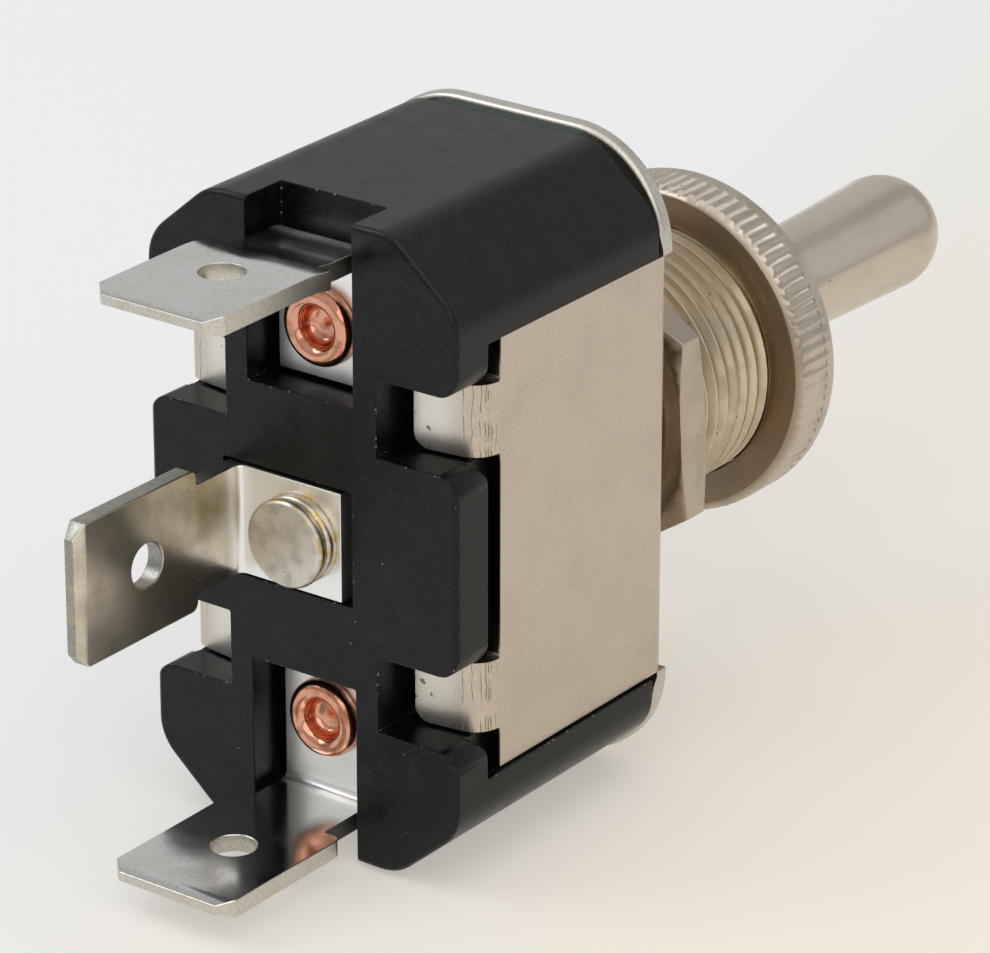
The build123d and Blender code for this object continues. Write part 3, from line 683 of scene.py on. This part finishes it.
# The groove is one four-sided section, screwed along the barrel.
bpy.ops.object.select_all(action="DESELECT")
bpy.ops.mesh.primitive_plane_add(
    size=1.0, location=(thread_radius - thread_depth / 2, thread_start, 0)
)
groove = bpy.context.object
groove.name = "thread_groove"
bpy.ops.object.mode_set(mode="EDIT")
bpy.ops.mesh.select_all(action="SELECT")
bpy.ops.transform.resize(value=(thread_depth + groove_beyond, groove_width, 1.0))
select_points(groove, lambda point: point.x < 0)
bpy.ops.transform.resize(value=(1.0, root_share, 1.0))
bpy.ops.mesh.select_all(action="SELECT")
bpy.ops.mesh.delete(type="ONLY_FACE")
bpy.ops.object.mode_set(mode="OBJECT")
bpy.ops.object.transform_apply(location=True, rotation=True, scale=True)
turns = groove.modifiers.new("turns", "SCREW")
turns.axis = "Y"
turns.screw_offset = thread_pitch
turns.iterations = thread_turns
turns.steps = thread_steps
turns.render_steps = thread_steps
turns.use_merge_vertices = True
turns.merge_threshold = 0.5 * merge_reach
bpy.ops.object.modifier_apply(modifier=turns.name)
bpy.ops.object.mode_set(mode="EDIT")
bpy.ops.mesh.select_all(action="DESELECT")
bpy.ops.mesh.select_non_manifold()
bpy.ops.mesh.fill_holes(sides=0)
bpy.ops.mesh.select_all(action="SELECT")
bpy.ops.mesh.normals_make_consistent(inside=False)
bpy.ops.object.mode_set(mode="OBJECT")

# The solid's ring grooves make way for a plain barrel, and the real helix is cut in that.
ring_root_radius = thread_radius - thread_depth - 0.05 * mm
ring_rear_y = 0.1 * mm
ring_front_y = thread_end - 0.05 * mm


def on_rings(point):
    """Every point of the ring grooves, between the barrel's two ends."""
    beyond_root = math.hypot(point.x, point.z) > ring_root_radius
    return beyond_root and ring_rear_y < point.y < ring_front_y


bushing = merged_copy("bushing")
select_points(bushing, on_rings)
bpy.ops.mesh.delete(type="VERT")
bpy.ops.mesh.select_non_manifold()
bpy.ops.mesh.bridge_edge_loops()
bpy.ops.mesh.select_all(action="SELECT")
bpy.ops.mesh.normals_make_consistent(inside=False)
bpy.ops.object.mode_set(mode="OBJECT")
cut_away(bushing, groove)
even_shading(bushing, 25.0)
# Painted shade darkens the plating below the thread's crests, in its roots.
thread_nickel = nickel_turned(
    "thread_nickel",
    (0.66, 0.57, 0.44, 1),
    (0.55, 0.465, 0.35, 1),
    lambda place: 0.35 * rise(from_axis(place), thread_radius - 0.2 * mm, thread_radius - 0.4 * mm),
)
settle(bushing, "bushing", "body", thread_nickel)

# Hexagon nut: thin, plated brass, sawn from hexagon bar and chamfered on both faces.
# It is run down on the thread near the frame, and sets how far the switch stands behind its panel.
# Painted shade darkens the nut a little towards the frame's front plate.
hex_nickel = nickel_turned(
    "hex_nickel",
    (0.5, 0.43, 0.35, 1),
    (0.44, 0.375, 0.3, 1),
    lambda place: 0.08 * rise(along(place, "Y"), 2.6 * mm, 2.2 * mm),
)
piece = edged_copy("hex_nut", 0.06 * mm)
settle(piece, "hex_nut", "hex_nut", hex_nickel, hex_nickel)

# Face nut: a round nut that clamps the panel's front. A straight knurl covers the rear part of
# its rim, and the front part is left smooth.
knurl_teeth = 84
knurl_depth = 0.11 * mm
knurl_rear = 10.3 * mm
knurl_front = 12.4 * mm
rim_radius = 7.75 * mm
cutter_radius = 0.4 * mm
cutter_spread = 2.6
cutter_x = rim_radius - knurl_depth + cutter_radius

# One V-shaped cutter lies along the rim, and its copies stand round the nut's axis.
bpy.ops.object.select_all(action="DESELECT")
bpy.ops.mesh.primitive_cylinder_add(
    vertices=3,
    radius=cutter_radius,
    depth=knurl_front - knurl_rear,
    location=(cutter_x, (knurl_rear + knurl_front) / 2, 0),
    rotation=(math.radians(90), 0, 0),
)
knurl = bpy.context.object
knurl.name = "knurl_cutter"
bpy.ops.object.transform_apply(location=True, rotation=True, scale=True)
bpy.ops.object.mode_set(mode="EDIT")
bpy.ops.mesh.select_all(action="SELECT")
bpy.ops.transform.rotate(
    value=math.radians(90), orient_axis="Y", center_override=(cutter_x, 0, 0)
)
bpy.ops.transform.resize(value=(1.0, 1.0, cutter_spread))
bpy.ops.mesh.spin(
    steps=knurl_teeth, dupli=True, angle=math.radians(360), center=(0, 0, 0), axis=(0, 1, 0)
)
bpy.ops.mesh.select_all(action="SELECT")
bpy.ops.mesh.remove_doubles(threshold=merge_reach)
bpy.ops.mesh.normals_make_consistent(inside=False)
bpy.ops.object.mode_set(mode="OBJECT")

face_nut = edged_copy("face_nut", 0.06 * mm)
cut_away(face_nut, knurl)
even_shading(face_nut, 25.0)
# Painted dark reflection and shade: the rear face and its chamfer, which face the frame, are tinted
# dark brown.
face_nickel = nickel_turned(
    "face_nickel",
    (0.56, 0.505, 0.43, 1),
    (0.48, 0.425, 0.355, 1),
    lambda place: 0.62 * rise(along(place, "Y"), 10.75 * mm, 10.42 * mm),
)
settle(face_nut, "face_nut", "face_nut", face_nickel, face_nickel)

# Lever, pin, plunger and spring: a bat handle turned from brass bar and plated, on a cross pin.
# Its hollow stem holds a coil spring that presses a moulded peg on the rocker.


def nickel_handle(name):
    """Smooth plating with faint turning rings and a few pits."""
    light_nickel = (0.64, 0.56, 0.465, 1)
    dull_nickel = (0.57, 0.495, 0.405, 1)
    dark_pit = (0.24, 0.2, 0.16, 1)
    material, place = start_finish(name)
    cloud = rise(grain(stretched(place, 1.0, 0.35, 1.0), 1.5 * mm, 4.0), 0.4, 0.7)
    fine = grain(place, 0.07 * mm, 3.0)
    rings = grain(stretched(place, 0.04, 1.0, 0.04), 0.06 * mm, 2.0)
    pits = dots(place, 0.6 * mm, 0.06, 0.12)
    tone = tinted(cloud, light_nickel, dull_nickel)
    tone = tinted(pits, tone, dark_pit)
    normal = bumped(fine + rings - pits, 0.0006 * mm)
    sheen = 0.18 + 0.08 * cloud + 0.05 * fine
    end_metal(place, tone, sheen, normal)
    return material


handle_finish = nickel_handle("nickel_handle")
for node in ("toggle_lever", "pivot_pin"):
    piece = edged_copy(node, 0.04 * mm)
    settle(piece, node, "lever", handle_finish, handle_finish)


def moulded_peg(name):
    """Ivory plastic, a little cloudy."""
    ivory = (0.72, 0.66, 0.55, 1)
    dark_ivory = (0.62, 0.55, 0.44, 1)
    material, place = start_finish(name)
    cloud = rise(grain(place, 0.8 * mm, 3.0), 0.4, 0.7)
    fine = grain(place, 0.06 * mm, 3.0)
    tone = tinted(cloud, ivory, dark_ivory)
    normal = bumped(fine, 0.002 * mm)
    end_finish(place, {"Base Color": tone, "Roughness": 0.4 + 0.15 * fine, "Normal": normal})
    return material


peg = moulded_peg("moulded_peg")
piece = edged_copy("plunger", 0.04 * mm)
settle(piece, "plunger", "plunger", peg, peg)

# The spring is seated in the stem at its front end.
spring_steel = plain_metal(
    "spring_steel", (0.55, 0.55, 0.56, 1), (0.4, 0.4, 0.41, 1), 0.25, 0.5 * mm
)
spring = merged_copy("plunger_spring")
even_shading(spring, 40.0)
settle(spring, "plunger_spring", "lever", spring_steel)
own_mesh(spring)

# Floor, light and camera: a pale table in a soft white room. Its colour and glow are painted
# warmer, and its glow brighter, at the right and in front, as painted warm light.
# Part of its brightness is its own, so that metal reflects it evenly. The view is the photograph's.
table_size = 3.0
cool_white = (0.83, 0.835, 0.84, 1)
warm_white = (0.85, 0.82, 0.77, 1)
cool_glow = (0.88, 0.89, 0.91, 1)
far_warm_glow = (0.78, 0.74, 0.67, 1)
near_warm_glow = (1.0, 0.93, 0.83, 1)
glow_share = 0.42
view_turn = math.radians(36.395)
view_tilt = math.radians(23.241)
view_roll = math.radians(0.086)
bpy.ops.object.select_all(action="DESELECT")
bpy.ops.mesh.primitive_grid_add(
    x_subdivisions=4, y_subdivisions=4, size=table_size, location=(0, 0, cad_low[2])
)
floor = bpy.context.object
floor.name = "pale_table"
bpy.ops.object.transform_apply(location=True, rotation=True, scale=True)
material, place = start_finish("pale_table")
across = math.cos(view_turn) * along(place, "X") + math.sin(view_turn) * along(place, "Y")
away = math.cos(view_turn) * along(place, "Y") - math.sin(view_turn) * along(place, "X")
# Painted warm light: the table's colour and glow turn warmer towards the right and front.
painted_warm_side = rise(across - 0.45 * away, -30 * mm, 12 * mm)
tone = tinted(painted_warm_side, cool_white, warm_white)
in_paint = {"Base Color": tone, "Roughness": 0.9, "Specular IOR Level": 0.1}
lit = place.node("BsdfPrincipled", {}, in_paint)
warm_glow = tinted(rise(away, 45 * mm, -15 * mm), far_warm_glow, near_warm_glow)
glow_tone = tinted(painted_warm_side, cool_glow, warm_glow)
glow = place.node("Emission", {}, {"Color": glow_tone, "Strength": 1.0})
seen = place.node("LightPath", {}, {}, out="Is Camera Ray")
mirrored = place.node("LightPath", {}, {}, out="Is Glossy Ray")
through = place.node("LightPath", {}, {}, out="Is Transmission Ray")
share = glow_share * (seen + mirrored + through)
shown = place.node("MixShader", {}, {0: share, 1: lit, 2: glow})
place.node("OutputMaterial", {}, {"Surface": shown})
floor.data.materials.append(material)


def soft_lamp(name, location, size, power, colour):
    """A square lamp that faces the object."""
    lamp = bpy.data.lights.new(name, "AREA")
    lamp.shape = "SQUARE"
    lamp.size = size
    lamp.energy = power
    lamp.color = colour
    holder = bpy.data.objects.new(name, lamp)
    bpy.context.scene.collection.objects.link(holder)
    holder.location = location
    holder.rotation_euler = (-holder.location).to_track_quat("-Z", "Y").to_euler()


soft_lamp("cool_lamp_left", (-0.5, -0.28, 0.55), 0.45, 1.6, (0.9, 0.95, 1.0))
soft_lamp("warm_lamp_right", (0.45, -0.45, 0.5), 0.9, 2.2, (1.0, 0.95, 0.88))
soft_lamp("lamp_above", (0.0, -0.05, 0.75), 0.9, 1.6, (1.0, 0.99, 0.97))
soft_lamp("cool_window_right", (0.48, 0.66, 0.36), 0.6, 0.22, (0.8, 0.9, 1.0))
soft_lamp("cool_window_left", (-0.5, 0.68, 0.36), 0.7, 0.2, (0.93, 0.97, 1.0))
world = bpy.data.worlds.new("white_room")
world.use_nodes = True
walls = world.node_tree.nodes["Background"]
walls.inputs["Color"].default_value = (1.0, 0.985, 0.96, 1)
walls.inputs["Strength"].default_value = 0.5
bpy.context.scene.world = world
bpy.context.scene.view_settings.view_transform = "Standard"

lens = bpy.data.cameras.new("camera")
lens.sensor_fit = "HORIZONTAL"
lens.sensor_width = 36.0
lens.lens = 191.91
lens.clip_start = 0.01
lens.clip_end = 20.0
camera = bpy.data.objects.new("camera", lens)
bpy.context.scene.collection.objects.link(camera)
camera.location = (124.548 * mm, -170.869 * mm, 88.170 * mm)
aim = Euler((math.radians(90) - view_tilt, 0, view_turn)).to_matrix()
camera.rotation_euler = (aim @ Matrix.Rotation(view_roll, 3, "Z")).to_euler()
bpy.context.scene.camera = camera
